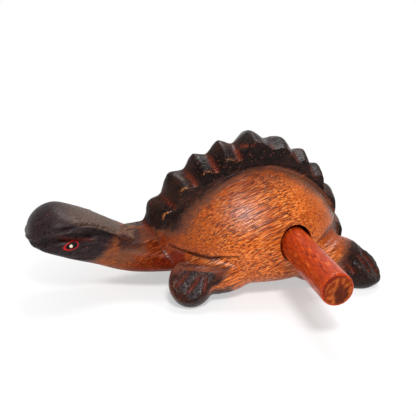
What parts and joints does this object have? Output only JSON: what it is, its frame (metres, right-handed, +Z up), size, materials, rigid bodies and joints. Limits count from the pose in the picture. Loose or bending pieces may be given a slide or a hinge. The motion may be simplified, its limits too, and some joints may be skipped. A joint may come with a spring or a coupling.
{
  "type": "turtle guiro",
  "caption": "Carved wooden turtle with a toothed comb along its back, scraped for sound with the round stick that is kept in a bore in its flank.",
  "frame": {"origin": "middle of the bottom of the overall box, on the plane that the soles stand on", "axes": "+X from the head towards the tail, +Z up, and -Y towards the turtle's left, the way that the stick is pulled out"},
  "size_m": [0.1802, 0.1356, 0.0786],
  "materials": {
    "carved_wood": "torched dark on the comb, head and feet, then varnished",
    "stick_wood": "stained reddish brown, satin"
  },
  "bodies": {
    "turtle": {"carved_body": "carved_wood"},
    "stick": {"scraper_stick": "stick_wood"}
  },
  "joints": [
    {"name": "stick_pull", "type": "slide", "parent": "turtle", "child": "stick", "axis": [0, -1, 0], "range_m": [0, 0.07]}
  ]
}
